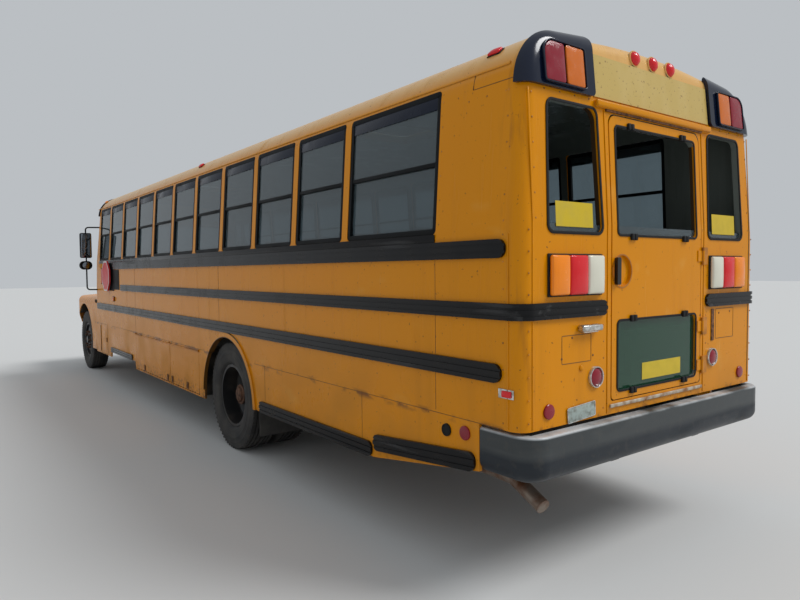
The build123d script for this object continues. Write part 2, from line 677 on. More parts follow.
def rear_axle():
    """Drive axle with its round differential case, spindles and leaf springs."""
    y = REAR_AXLE_Y
    half = [
        (0, 0, 0), (0, DIFF_RADIUS, 0), (80, DIFF_RADIUS - 10, 30), (190, AXLE_TUBE, 0), (570, AXLE_TUBE, 0),
        (570, AXLE_SPINDLE, 0), (DUAL_OUTER_X + 20, AXLE_SPINDLE, 0), (DUAL_OUTER_X + 20, 0, 0),
    ]
    left = turned(half, y, HUB_Z)
    axle = left + mirror(left, about=Plane.YZ)
    axle = axle + rod((0, y - PINION_LENGTH, HUB_Z), (0, y, HUB_Z), 92)
    for side in (-1, 1):
        axle = axle + leaf_spring(side * REAR_SPRING_X, y, HUB_Z + AXLE_TUBE - 6, REAR_SPRING_TOP_Z)
    return axle


def engine():
    """Engine and gearbox as plain blocks at their real size and place."""
    block_body = rounded_block(-300, 300, ENGINE_FRONT_Y, ENGINE_REAR_Y, ENGINE_BOTTOM_Z, 1290, Axis.Y, 60)
    gearbox = rounded_block(-170, 170, ENGINE_REAR_Y, GEARBOX_REAR_Y, 500, 860, Axis.Y, 70)
    return block_body + gearbox


def radiator():
    """Radiator with its two tanks, on the front cross member."""
    half, tank, top = 325, 60, 1240
    core = block(-half, half, RADIATOR_Y - 35, RADIATOR_Y + 35, ENGINE_BOTTOM_Z, top)
    tanks = both_sides(rounded_block(half, half + tank, RADIATOR_Y - 50, RADIATOR_Y + 50, ENGINE_BOTTOM_Z, top,
                                     Axis.Z, 20))
    return core + tanks[0] + tanks[1]


def drive_shaft():
    """Shaft from the gearbox back to the rear axle."""
    return rod((0, GEARBOX_REAR_Y, SHAFT_Z), (0, REAR_AXLE_Y - PINION_LENGTH, SHAFT_Z), 40)


TANK_FRONT_Y = REAR_AXLE_Y - 2179
TANK_REAR_Y = REAR_AXLE_Y - 979


def fuel_tank():
    """Step-shaped fuel tank outboard of the right frame rail, with its straps."""
    tank = rounded_block(-1110, -RAIL_OUTER_X - 20, TANK_FRONT_Y, TANK_REAR_Y, 430, 850, Axis.Y, 70)
    for offset in (220, 980):
        y = TANK_FRONT_Y + offset
        strap = rounded_block(-1116, -RAIL_OUTER_X - 14, y, y + 50, 424, 856, Axis.Y, 76)
        tank = tank + strap + block(-RAIL_OUTER_X - 30, -RAIL_OUTER_X, y, y + 50, 640, 840)
    return tank


PIPE_RADIUS = 42


def exhaust():
    """Pipe between the frame rails, muffler behind the axle and tailpipe at the left rear."""
    muffler = rod((240, 2850, 590), (240, 3950, 590), 105)
    front = rod((280, ENGINE_REAR_Y + 700, 645), (280, 2850, 645), PIPE_RADIUS)
    tail = tube_path([(240, 3950, 575), (240, 4350, 560), (880, 4900, 545), (880, 5330, 530), (900, 5560, 430)],
                     PIPE_RADIUS, 130)
    pipe = muffler + front + tail
    for x, y, z in ((280, CROSS_MEMBER_Y[1], 685), (280, CROSS_MEMBER_Y[4], 685), (240, CROSS_MEMBER_Y[5], 595)):
        pipe = pipe + block(x - 8, x + 8, y - 15, y + 15, z, CROSS_BOTTOM_Z)
    return pipe


# Wheels

def tyre(centre_x, y):
    """A tyre with rounded sidewalls and a flat tread."""
    half = TYRE_WIDTH / 2
    bead = RIM_RADIUS + RUNNING_FIT
    seat, lip = RIM_WIDTH / 2 - 10, RIM_RADIUS + RIM_FLANGE + 1
    corners = [
        (centre_x - seat, bead, 0),
        (centre_x + seat, bead, 0),
        (centre_x + seat, lip, 0),
        (centre_x + half, bead + 70, 50),
        (centre_x + half - 4, TYRE_RADIUS - 62, 60),
        (centre_x + half - 22, TYRE_RADIUS - 4, 16),
        (centre_x - half + 22, TYRE_RADIUS - 4, 16),
        (centre_x - half + 4, TYRE_RADIUS - 62, 60),
        (centre_x - half, bead + 70, 50),
        (centre_x - seat, lip, 0),
    ]
    corners.insert(6, (centre_x, TYRE_RADIUS, 0))
    return turned(corners, y, HUB_Z)


def rim_barrel(centre_x, y):
    """Rim with a raised flange at each side of the tyre."""
    half = RIM_WIDTH / 2
    inner = RIM_RADIUS - RIM_WALL
    corners = [
        (centre_x - half, inner, 0), (centre_x + half, inner, 0),
        (centre_x + half, RIM_RADIUS + RIM_FLANGE, 0), (centre_x + half - 9, RIM_RADIUS + RIM_FLANGE, 0),
        (centre_x + half - 9, RIM_RADIUS, 0), (centre_x - half + 9, RIM_RADIUS, 0),
        (centre_x - half + 9, RIM_RADIUS + RIM_FLANGE, 0), (centre_x - half, RIM_RADIUS + RIM_FLANGE, 0),
    ]
    return turned(corners, y, HUB_Z)


def wheel_disc(face_x, barrel_x, thickness, inner, y):
    """Dished wheel centre from the hub flange out to the rim barrel."""
    rim = RIM_RADIUS - RIM_WALL + 1
    step = thickness if barrel_x > face_x else -thickness
    corners = [
        (face_x, inner, 0), (face_x, 165, 20), (barrel_x, rim - 25, 25), (barrel_x, rim, 0),
        (barrel_x - step, rim, 0), (barrel_x - step, rim - 22, 20), (face_x - step, 168, 25), (face_x - step, inner, 0),
    ]
    return turned(corners, y, HUB_Z)


def front_rim(side):
    """Front wheel rim, its outward disc, the brake drum and the hub on its spindle."""
    y = FRONT_AXLE_Y
    bore = SPINDLE_RADIUS + RUNNING_FIT
    hub_inner = KINGPIN_X + 76
    rim = rim_barrel(FRONT_WHEEL_X, y)
    rim = rim + wheel_disc(FRONT_WHEEL_X + 98, FRONT_WHEEL_X + 70, -12, 70, y)
    rim = rim + ring(hub_inner, FRONT_WHEEL_X + 100, bore, 85, y, HUB_Z)
    rim = rim + ring(FRONT_WHEEL_X + 100, FRONT_WHEEL_X + 106, bore, 100, y, HUB_Z)
    rim = rim + ring(FRONT_WHEEL_X + 106, FRONT_WHEEL_X + 134, 0, 62, y, HUB_Z)
    rim = rim + ring(hub_inner, hub_inner + 60, 60, 200, y, HUB_Z)
    return rim if side > 0 else mirror(rim, about=Plane.YZ)


def rear_rims(side):
    """Twin rims bolted disc to disc on one hub with its brake drum."""
    y = REAR_AXLE_Y
    bore = AXLE_SPINDLE + RUNNING_FIT
    inner_x = DUAL_OUTER_X - DUAL_SPACING
    joint_x = (DUAL_OUTER_X + inner_x) / 2
    rims = rim_barrel(DUAL_OUTER_X, y) + rim_barrel(inner_x, y)
    rims = rims + wheel_disc(joint_x + 12, DUAL_OUTER_X - 40, 12, 70, y)
    rims = rims + wheel_disc(joint_x - 12, inner_x + 40, 12, 70, y)
    rims = rims + ring(joint_x - 12, joint_x + 12, bore, 165, y, HUB_Z)
    rims = rims + ring(inner_x - 60, DUAL_OUTER_X + 16, bore, 92, y, HUB_Z)
    rims = rims + ring(DUAL_OUTER_X + 16, DUAL_OUTER_X + 26, bore, 100, y, HUB_Z)
    rims = rims + ring(inner_x - 60, joint_x - 40, 90, 210, y, HUB_Z)
    return rims if side > 0 else mirror(rims, about=Plane.YZ)


# Hood

def hood_solid(inset):
    """Hood and fenders as one solid, moved in by the inset."""
    wide = FENDER_HALF_WIDTH - inset
    low = FENDER_REAR_Z
    right = [(wide, low, 0), (wide, FENDER_TOP_Z - inset, 120), (790 - inset, FENDER_TOP_Z + 30 - inset, 50),
             (660 - inset, HOOD_TOP_Z - inset, 120)]
    left = [(-x, z, r) for x, z, r in reversed(right)]
    front_view = along(right + left, HOOD_FRONT_Y - 50, HOOD_REAR_Y)
    top = [
        (HOOD_REAR_Y, low, 0), (HOOD_REAR_Y, HOOD_TOP_Z - inset, 0),
        (HOOD_FRONT_Y + 200, 1330 - inset, 160 - inset), (HOOD_FRONT_Y + inset, 1100, 60 - inset),
        (HOOD_FRONT_Y + inset, HOOD_BOTTOM_Z, 0), (FRONT_AXLE_Y - FRONT_ARCH_RADIUS * 0.86, HOOD_BOTTOM_Z, 0),
        (FRONT_AXLE_Y - FRONT_ARCH_RADIUS * 0.86, low, 0),
    ]
    side_view = across(top, -1500, 1500)
    plan = [
        (wide, HOOD_REAR_Y, 0), (wide, HOOD_FRONT_Y + 420, 200 - inset),
        (920 - inset, HOOD_FRONT_Y + inset, 160 - inset), (-920 + inset, HOOD_FRONT_Y + inset, 160 - inset),
        (-wide, HOOD_FRONT_Y + 420, 200 - inset), (-wide, HOOD_REAR_Y, 0),
    ]
    return front_view & side_view & upright(plan, low, 1600)


GRILLE_HALF_WIDTH = 470
GRILLE_LOW_Z = 850
GRILLE_HIGH_Z = 1150
HEADLAMP_INNER_X = 600
HEADLAMP_OUTER_X = 860
HEADLAMP_LOW_Z = 900
HEADLAMP_HIGH_Z = 1120


def hood_shell():
    """Tilting hood: thin shell with wheel arches, grille and lamp openings and pivot lugs."""
    hood = hood_solid(0) - hood_solid(HOOD_WALL)
    arch = rod((-1500, FRONT_AXLE_Y, HUB_Z), (1500, FRONT_AXLE_Y, HUB_Z), FRONT_ARCH_RADIUS)
    hood = hood - arch
    for opening in (grille_opening(0), lamp_opening(1, 0), lamp_opening(-1, 0)):
        hood = hood - opening
    hood = hood - rear_relief()
    for lug in both_sides(hood_lugs()):
        hood = hood + lug
    return hood


def rear_relief():
    """Sloped cut at the fender's lower rear corner, so the hood swings past the cowl."""
    corners = [(HOOD_REAR_Y - 36, FENDER_REAR_Z - 1, 0), (HOOD_REAR_Y + 1, FENDER_REAR_Z - 1, 0),
               (HOOD_REAR_Y + 1, HOOD_PIVOT_Z + 60, 0)]
    return across(corners, -1500, 1500)


def grille_opening(margin):
    """Opening for the grille in the hood's front face."""
    return rounded_block(-GRILLE_HALF_WIDTH + margin, GRILLE_HALF_WIDTH - margin, HOOD_FRONT_Y - 50,
                         HOOD_FRONT_Y + 120, GRILLE_LOW_Z + margin, GRILLE_HIGH_Z - margin, Axis.Y, 40 - margin)


def lamp_opening(side, margin):
    """Opening for one headlamp in the hood's front corner."""
    low, high = sorted((side * (HEADLAMP_INNER_X + margin), side * (HEADLAMP_OUTER_X - margin)))
    return rounded_block(low, high, HOOD_FRONT_Y - 50, HOOD_FRONT_Y + 200, HEADLAMP_LOW_Z + margin,
                         HEADLAMP_HIGH_Z - margin, Axis.Y, 40 - margin)


def grille():
    """Grille frame with horizontal bars."""
    front = HOOD_FRONT_Y + 2
    frame = grille_opening(FRAME_FIT) - grille_opening(24)
    frame = frame & block(-600, 600, front, front + 40, 0, 2000)
    bars = 6
    spacing = (GRILLE_HIGH_Z - GRILLE_LOW_Z) / bars
    for number in range(1, bars):
        z = GRILLE_LOW_Z + number * spacing
        bar = across([(front + 4, z - 9, 3), (front + 30, z - 4, 3), (front + 30, z + 10, 3), (front + 4, z + 5, 3)],
                     -GRILLE_HALF_WIDTH + 10, GRILLE_HALF_WIDTH - 10)
        frame = frame + bar
    return frame


def headlamps():
    """Two headlamp units set into the hood's front corners."""
    lamp = lamp_opening(1, FRAME_FIT) & hood_solid(4)
    lamp = lamp & block(0, 1500, HOOD_FRONT_Y - 50, HOOD_FRONT_Y + 95, 0, 2000)
    return both_sides(lamp)


# Outside equipment

def front_bumper():
    """Pressed front bumper with rounded ends on the frame horns."""
    front, rear = FRONT_FACE_Y, FRONT_FACE_Y + FRONT_BUMPER_DEPTH
    half = FENDER_HALF_WIDTH + 10
    plan = [(-half, rear, 0), (-half, front, 60), (half, front, 60), (half, rear, 0)]
    inner = [(-half + 8, rear + 1, 0), (-half + 8, front + 8, 52), (half - 8, front + 8, 52), (half - 8, rear + 1, 0)]
    bumper = upright(plan, FRONT_BUMPER_BOTTOM_Z, FRONT_BUMPER_TOP_Z)
    bumper = bumper - upright(inner, FRONT_BUMPER_BOTTOM_Z + 8, FRONT_BUMPER_TOP_Z - 8)
    back_plates = [block(side * 380, side * 480, rear - 10, rear, FRONT_BUMPER_BOTTOM_Z + 8,
                         FRONT_BUMPER_TOP_Z - 8) for side in (-1, 1)]
    return bumper + back_plates[0] + back_plates[1]


def bumper_plan(inset):
    """Plan of the rear bumper, wrapped round both rear corners."""
    half, rear, front = BODY_HALF_WIDTH - inset, REAR_FACE_Y - inset, REAR_FACE_Y - BUMPER_SIDE
    return [(-half, front - inset, 0), (half, front - inset, 0), (half, rear, BUMPER_RADIUS - inset),
            (-half, rear, BUMPER_RADIUS - inset)]


def bumper_solid(inset):
    """The rear bumper's outer form moved in by the inset, rolled under at the bottom."""
    low_z, high_z = BUMPER_BOTTOM_Z + inset, BUMPER_TOP_Z - inset
    solid = upright(bumper_plan(inset), low_z, high_z)
    front = REAR_FACE_Y - BUMPER_SIDE - inset
    low_edges = [edge for edge in solid.edges() if edge.center().Z < low_z + 1 and edge.center().Y > front + 1]
    solid = fillet(low_edges, BUMPER_ROLL - inset)
    high_edges = [edge for edge in solid.edges() if edge.center().Z > high_z - 1 and edge.center().Y > front + 1]
    return fillet(high_edges, BUMPER_EDGE - inset)


def rear_bumper():
    """Rolled channel bumper wrapped round the rear corners, open towards the frame."""
    reach = BODY_HALF_WIDTH
    back = REAR_FACE_Y - BUMPER_FLANGE
    inside = block(-reach + BUMPER_FLANGE, reach - BUMPER_FLANGE, REAR_FACE_Y - BUMPER_SIDE - 60, back,
                   BUMPER_BOTTOM_Z - 1, BUMPER_TOP_Z + 1)
    return bumper_solid(0) - bumper_solid(BUMPER_WALL) - inside


def skirt_outline():
    """Side view of the skirt: deep ahead of the rear wheels, kicked up behind them."""
    points = [
        (SKIRT_TAIL_Y, BODY_BOTTOM_Z), (SKIRT_TAIL_Y, SKIRT_TAIL_Z), (SKIRT_KICK_Y, SKIRT_REAR_Z),
        (REAR_AXLE_Y, SKIRT_REAR_Z), (REAR_AXLE_Y, SKIRT_LOW_Z), (SKIRT_STEP_Y, SKIRT_LOW_Z),
        (SKIRT_STEP_Y - 15, SKIRT_STEP_Z), (SKIRT_COWL_Y + 15, SKIRT_STEP_Z), (SKIRT_COWL_Y, SKIRT_COWL_Z),
        (BODY_FRONT_Y, SKIRT_COWL_Z), (BODY_FRONT_Y, BODY_BOTTOM_Z),
    ]
    return [(y, z, 0) for y, z in points]


def arch_cut(radius, low_x, high_x):
    """Wheel-arch cutter: a half circle carried straight down."""
    circle = rod((low_x, REAR_AXLE_Y, REAR_ARCH_Z), (high_x, REAR_AXLE_Y, REAR_ARCH_Z), radius)
    return circle + block(low_x, high_x, REAR_AXLE_Y - radius, REAR_AXLE_Y + radius, 0, REAR_ARCH_Z)


def skirt(side):
    """One skirt panel with its wheel arch and the openings for doors."""
    outer, inner = BODY_HALF_WIDTH, BODY_HALF_WIDTH - SKIRT_THICKNESS
    panel = across(skirt_outline(), inner, outer) - arch_cut(REAR_ARCH_RADIUS, inner - 1, outer + 50)
    rim = arch_cut(REAR_ARCH_RADIUS + ARCH_RIM_WIDTH, outer, outer + ARCH_RIM_PROUD)
    rim = rim - arch_cut(REAR_ARCH_RADIUS, outer - 1, outer + 50)
    rim = rim & block(0, 2000, 0, 6000, SKIRT_REAR_Z, BODY_BOTTOM_Z)
    panel = panel + rim
    if side > 0:
        panel = panel - block(0, 2000, STORAGE_FRONT_Y, STORAGE_REAR_Y, STORAGE_BOTTOM_Z, STORAGE_TOP_Z)
        return panel
    return mirror(panel, about=Plane.YZ) - entry_opening(0)


def arch_in_wall(wall, side):
    """Cuts the top of the rear wheel arch out of a side wall and adds its rim."""
    reach = BODY_HALF_WIDTH + 50
    cut = arch_cut(REAR_ARCH_RADIUS, BODY_HALF_WIDTH - WALL - 1, reach)
    rim = arch_cut(REAR_ARCH_RADIUS + ARCH_RIM_WIDTH, BODY_HALF_WIDTH, BODY_HALF_WIDTH + ARCH_RIM_PROUD)
    rim = rim - arch_cut(REAR_ARCH_RADIUS, BODY_HALF_WIDTH - 1, reach)
    rim = rim & block(0, 2000, 0, 6000, BODY_BOTTOM_Z, RAILS[-1][0])
    if side < 0:
        cut, rim = mirror(cut, about=Plane.YZ), mirror(rim, about=Plane.YZ)
    return wall - cut + rim


def rub_rails():
    """Ribbed black rails along both sides and low on the skirts."""
    solids = []
    for low_z, height, front_y, rear_y in RAILS:
        square = rear_y is None
        rear_y = REAR_SPLIT_Y - RAIL_SEAM if square else rear_y
        solids.append(side_rail(low_z, height, front_y, rear_y, square))
        behind_door = max(front_y, ENTRY_REAR_Y + 40)
        solids.append(mirror(side_rail(low_z, height, behind_door, rear_y, square), about=Plane.YZ))
    for segment in SKIRT_RAILS:
        solids.append(skirt_rail(*segment))
        if segment[0] > ENTRY_REAR_Y:
            solids.append(mirror(skirt_rail(*segment), about=Plane.YZ))
    return solids


def side_rail(low_z, height, front_y, rear_y, square):
    """A straight rail on the left side, round at its ends, or square where the corner rail carries on."""
    inner, outer, high_z, tip = BODY_HALF_WIDTH, BODY_HALF_WIDTH + RAIL_PROUD, low_z + height, height / 2 - 1
    rear_tip = 0 if square else tip
    rail = across([(front_y, low_z, tip), (rear_y, low_z, rear_tip), (rear_y, high_z, rear_tip),
                   (front_y, high_z, tip)], inner, outer)
    for start, end in RAIL_GROOVES:
        rail = rail - block(outer - RAIL_GROOVE, outer + 1, front_y - 1, rear_y + 1,
                            low_z + start * height, low_z + end * height)
    return rail


def skirt_rail(front_y, front_z, rear_y, rear_z, height):
    """One rail low on the left skirt, level or rising with the skirt's edge."""
    inner, outer, tip = BODY_HALF_WIDTH, BODY_HALF_WIDTH + RAIL_PROUD, height / 2 - 6
    rail = across([(front_y, front_z, tip), (rear_y, rear_z, tip), (rear_y, rear_z + height, tip),
                   (front_y, front_z + height, tip)], inner, outer)
    for start, end in RAIL_GROOVES:
        low, high = start * height, end * height
        rail = rail - across([(front_y, front_z + low, 0), (rear_y, rear_z + low, 0), (rear_y, rear_z + high, 0),
                              (front_y, front_z + high, 0)], outer - RAIL_GROOVE, outer + 1)
    return rail


def corner_layer(low, high, low_z, high_z, margin):
    """A band round the left rear corner between two heights above the body's skin."""
    front_y, end_x = REAR_SPLIT_Y - margin, MID_RAIL_END_X - margin

    def plan(proud, extra):
        side, rear = BODY_HALF_WIDTH + proud, BODY_REAR_Y + proud
        return [(end_x - extra, front_y - extra, 0), (side, front_y - extra, 0),
                (side, rear, REAR_CORNER_RADIUS + proud), (end_x - extra, rear, 0)]

    return upright(plan(high, 0), low_z, high_z) - upright(plan(low, 1), low_z - 1, high_z + 1)


def corner_rails():
    """The middle rail's last piece on each side, bent round the corner to the tail lamps."""
    low_z, height = next((low_z, height) for low_z, height, _, rear_y in RAILS if rear_y is None)
    high_z, tip = low_z + height, height / 2 - 1
    rail = corner_layer(0, RAIL_PROUD, low_z, high_z, 0)
    for start, end in RAIL_GROOVES:
        rail = rail - corner_layer(RAIL_PROUD - RAIL_GROOVE, RAIL_PROUD + 1, low_z + start * height,
                                   low_z + end * height, 1)
    side = BODY_HALF_WIDTH + 2 * RAIL_PROUD
    end_view = [(MID_RAIL_END_X, low_z, tip), (side, low_z, 0), (side, high_z, 0), (MID_RAIL_END_X, high_z, tip)]
    return both_sides(rail & along(end_view, REAR_SPLIT_Y - 1, BODY_REAR_Y + 2 * RAIL_PROUD))


# Glass, frames and lamps

def window_frames():
    """Black split-sash frames in every side window."""
    frames = []
    for side in (-1, 1):
        for front_y, rear_y in window_spans(side):
            frame = window_solid(side, front_y, rear_y, FRAME_FIT, -2, 2 + FRAME_DEPTH)
            middle = WINDOW_BOTTOM_Z + SASH_SPLIT * (WINDOW_TOP_Z - WINDOW_BOTTOM_Z)
            for low, high in ((WINDOW_BOTTOM_Z + FRAME_WIDTH, middle - SASH_BAR / 2),
                              (middle + SASH_BAR / 2, WINDOW_TOP_Z - FRAME_WIDTH)):
                frame = frame - wall_rectangle(side, front_y + FRAME_WIDTH, rear_y - FRAME_WIDTH, low, high, 12,
                                               10, 60)
            frames.append(frame)
    return frames


def side_glass():
    """Upper and lower pane of every side window, set into its frame."""
    panes = []
    middle = WINDOW_BOTTOM_Z + SASH_SPLIT * (WINDOW_TOP_Z - WINDOW_BOTTOM_Z)
    for side in (-1, 1):
        for front_y, rear_y in window_spans(side):
            for low, high, depth in ((WINDOW_BOTTOM_Z + FRAME_WIDTH, middle - SASH_BAR / 2, 20),
                                     (middle + SASH_BAR / 2, WINDOW_TOP_Z - FRAME_WIDTH, 10)):
                panes.append(wall_rectangle(side, front_y + FRAME_WIDTH, rear_y - FRAME_WIDTH, low, high, 12,
                                            -depth, depth + GLASS))
    return panes


def end_glass():
    """Windshield and the two fixed rear windows, each in its opening."""
    layer = shell_layer(REAR_GLASS_SET, REAR_GLASS_SET + GLASS)
    front = layer & along(windshield_corners(0), BODY_FRONT_Y - 50, FRONT_SPLIT_Y)
    rear = layer & along(rear_window_corners(0), REAR_SPLIT_Y, BODY_REAR_Y + 50)
    return [front] + both_sides(rear)


POD_INNER_X = 607
POD_LOW_Z = 2624
POD_HIGH_Z = 2957
POD_PROUD = 24


def skin_layer(low, high):
    """A layer that lies on the outside of the body, from one height above it to another."""
    return envelope(-high) - envelope(-low)


def lamp_pods():
    """Black housings that wrap the top corners, front and rear."""
    skin = skin_layer(RUNNING_FIT, POD_PROUD)
    reach = BODY_HALF_WIDTH + 60
    pods = []
    for front_y, rear_y in ((REAR_SPLIT_Y + 10, BODY_REAR_Y + 60), (BODY_FRONT_Y - 60, FRONT_SPLIT_Y - 10)):
        pod = skin & rounded_block(POD_INNER_X, reach, front_y, rear_y, POD_LOW_Z, POD_HIGH_Z, Axis.Y, 30)
        pods += both_sides(pod)
    return pods


WARNING_LENSES = (
    # inner x, outer x, radius of the outer top corner
    (704, 853, 14),
    (861, 1018, 70),
)
LENS_LOW_Z = 2648
LENS_HIGH_Z = 2852
LENS_CORNER = 14
LENS_PROUD = 14


def warning_lenses():
    """Squared warning lamps on the pods, an inner and an outer one on each."""
    layer = skin_layer(POD_PROUD + RUNNING_FIT, POD_PROUD + LENS_PROUD)
    lenses = []
    for front_y, rear_y in ((REAR_SPLIT_Y + 30, BODY_REAR_Y + 80), (BODY_FRONT_Y - 80, FRONT_SPLIT_Y - 30)):
        for inner, outer, corner in WARNING_LENSES:
            face = [(inner, LENS_LOW_Z, LENS_CORNER), (outer, LENS_LOW_Z, LENS_CORNER),
                    (outer, LENS_HIGH_Z, corner), (inner, LENS_HIGH_Z, LENS_CORNER)]
            lenses += both_sides(layer & along(face, front_y, rear_y))
    return lenses


SIGN_HALF_WIDTH = 597
SIGN_LOW_Z = 2632
SIGN_HIGH_Z = 2866
SIGN_PROUD = 7
HEADER_LOW_Z = 2577
HEADER_HIGH_Z = 2610
HEADER_PROUD = 16


def header_signs():
    """Blank sign panels over the rear door and the windshield, and the rolled rail under the rear one."""
    half = SIGN_HALF_WIDTH
    layer = skin_layer(RUNNING_FIT, SIGN_PROUD)
    rear = layer & block(-half, half, REAR_SPLIT_Y, BODY_REAR_Y + 50, SIGN_LOW_Z, SIGN_HIGH_Z)
    front = layer & block(-half, half, BODY_FRONT_Y - 50, FRONT_SPLIT_Y - 10, SIGN_LOW_Z, SIGN_HIGH_Z)
    rail = skin_layer(RUNNING_FIT, HEADER_PROUD)
    rail = rail & block(-half, half, REAR_SPLIT_Y, BODY_REAR_Y + 50, HEADER_LOW_Z, HEADER_HIGH_Z)
    return [rear, front, rail]


TAIL_LAMP = (
    # inner x, outer x, low z, high z
    (575, 700, 1567, 1781),
    (704, 862, 1567, 1781),
    (866, 1010, 1567, 1781),
)
TAIL_LAMP_PROUD = 30
ROUND_LAMPS = (
    # x, z, radius, proud
    (620, 1119, 59, 24),
    (1003, 981, 39, 16),
)


def rear_lamps():
    """Tail lamp clusters, round turn lamps and reflectors on both sides of the rear."""
    lamps = []
    for inner, outer, low, high in TAIL_LAMP:
        lamp = rounded_block(inner, outer, BODY_REAR_Y, BODY_REAR_Y + TAIL_LAMP_PROUD, low, high, Axis.Y, 18)
        lamps += both_sides(lamp)
    for x, z, radius, proud in ROUND_LAMPS:
        lamps += both_sides(rod((x, BODY_REAR_Y, z), (x, BODY_REAR_Y + proud, z), radius))
    return lamps


ID_LAMP_X = (-184, 0, 184)
ID_LAMP_Z = 2915
ROOF_MARKER_X = 1095
ROOF_MARKER_Z = 2852
ROOF_MARKER_Y = (BODY_FRONT_Y + 310, 978, REAR_FACE_Y - 382)
STOP_LAMP_Y = BODY_FRONT_Y + 1247
SIDE_LAMPS = (
    # y, z, radius
    (REAR_FACE_Y - 471, 825, 34),
    (STOP_LAMP_Y, 1318, 38),
)
SIDE_MARKER_Y = REAR_FACE_Y - 169
SIDE_MARKER_Z = 1082
SIDE_MARKER_HALF_LENGTH = 34
SIDE_MARKER_HALF_HEIGHT = 19
SIDE_LAMP_PROUD = 16


def marker_lamps():
    """Small clearance lamps over both ends and along the roof edge, and round lamps on the sides."""
    layer = skin_layer(RUNNING_FIT, SIDE_LAMP_PROUD)
    lamps = []
    for front_y, rear_y in ((REAR_SPLIT_Y, BODY_REAR_Y + 50), (BODY_FRONT_Y - 50, FRONT_SPLIT_Y - 20)):
        for x in ID_LAMP_X:
            lamps.append(layer & block(x - 42, x + 42, front_y, rear_y, ID_LAMP_Z - 20, ID_LAMP_Z + 20))
    for y in ROOF_MARKER_Y:
        lamps += both_sides(layer & block(ROOF_MARKER_X - 34, ROOF_MARKER_X + 60, y - 44, y + 44,
                                          ROOF_MARKER_Z - 24, ROOF_MARKER_Z + 24))
    for y, z, radius in SIDE_LAMPS:
        lamps += both_sides(rod((BODY_HALF_WIDTH, y, z), (BODY_HALF_WIDTH + SIDE_LAMP_PROUD, y, z), radius))
    y, z, length, height = SIDE_MARKER_Y, SIDE_MARKER_Z, SIDE_MARKER_HALF_LENGTH, SIDE_MARKER_HALF_HEIGHT
    return lamps + both_sides(rounded_block(BODY_HALF_WIDTH, BODY_HALF_WIDTH + SIDE_LAMP_PROUD, y - length,
                                            y + length, z - height, z + height, Axis.X, 6))


# Mirrors and mud flaps

MIRROR_Y = BODY_FRONT_Y + 90
MIRROR_POST_X = BODY_HALF_WIDTH + 140
MIRROR_ARM_Z = 2450
MIRROR_FOOT_Z = 1440
MIRROR_TUBE = 11
MIRROR_INNER_X = BODY_HALF_WIDTH + 57
MIRROR_OUTER_X = BODY_HALF_WIDTH + 225
MIRROR_LOW_Z = 1955
MIRROR_HIGH_Z = 2360
CROSS_MIRROR_INNER_X = BODY_HALF_WIDTH + 60
CROSS_MIRROR_OUTER_X = BODY_HALF_WIDTH + 245
CROSS_MIRROR_LOW_Z = 1766
CROSS_MIRROR_HIGH_Z = 1905


def mirrors():
    """A tube bracket on each front corner with a flat mirror and a round wide-view mirror below it."""
    path = [(SHOULDER_X - 58.5, MIRROR_Y + 120, MIRROR_ARM_Z), (MIRROR_POST_X, MIRROR_Y, MIRROR_ARM_Z),
            (MIRROR_POST_X, MIRROR_Y, MIRROR_FOOT_Z), (BODY_HALF_WIDTH - 45, MIRROR_Y + 100, MIRROR_FOOT_Z)]
    bracket = tube_path(path, MIRROR_TUBE, 45) - envelope(-RUNNING_FIT)
    bracket = bracket.solids().sort_by(SortBy.VOLUME)[-1]
    head = rounded_block(MIRROR_INNER_X, MIRROR_OUTER_X, MIRROR_Y - 45, MIRROR_Y + 14, MIRROR_LOW_Z,
                         MIRROR_HIGH_Z, Axis.Y, 25)
    dome = rounded_block(CROSS_MIRROR_INNER_X, CROSS_MIRROR_OUTER_X, MIRROR_Y - 50, MIRROR_Y + 40,
                         CROSS_MIRROR_LOW_Z, CROSS_MIRROR_HIGH_Z, Axis.Y, 66)
    dome = fillet(dome.faces().sort_by(Axis.Y)[0].edges(), 40)
    return both_sides(bracket + head + dome)


FLAP_INNER_X = 720
FLAP_OUTER_X = BODY_HALF_WIDTH - 40
FLAP_Y = REAR_AXLE_Y + 631
FLAP_BOTTOM_Z = 245
FLAP_THICKNESS = 8


def mud_flaps():
    """Plain rubber flaps that hang from a floor sill behind the twin wheels."""
    return both_sides(block(FLAP_INNER_X, FLAP_OUTER_X, FLAP_Y, FLAP_Y + FLAP_THICKNESS, FLAP_BOTTOM_Z,
                            FRAME_TOP_Z))


# Seats and driver's place

SEAT_ROWS = 11
SEAT_PITCH = 700
SEAT_REAR_Y = BODY_REAR_Y - 231
BENCH_LENGTH = 940
CUSHION_Z = FLOOR_TOP_Z + 300
CUSHION_THICKNESS = 120
BACK_TOP_Z = FLOOR_TOP_Z + 980


def seat_rows():
    """Rear edge of each bench seat, from the rear of the bus forward."""
    return [SEAT_REAR_Y - number * SEAT_PITCH for number in range(SEAT_ROWS)]


def bench_span():
    """Inner and outer end of a bench on the left side."""
    outer = BODY_HALF_WIDTH - WALL - 62
    return outer - BENCH_LENGTH, outer


def seat_cushions():
    """Bench cushions, two to a row."""
    inner, outer = bench_span()
    cushions = []
    for rear in seat_rows():
        cushion = rounded_block(inner, outer, rear - 520, rear - 115, CUSHION_Z, CUSHION_Z + CUSHION_THICKNESS,
                                Axis.X, 40)
        cushions += both_sides(cushion)
    return cushions


def seat_backs():
    """High padded backs that lean rearward, two to a row."""
    inner, outer = bench_span()
    backs = []
    for rear in seat_rows():
        side = [(rear - 112, CUSHION_Z + 20, 20), (rear - 40, CUSHION_Z + 20, 20), (rear, BACK_TOP_Z, 30),
                (rear - 70, BACK_TOP_Z, 30)]
        backs += both_sides(across(side, inner, outer))
    return backs


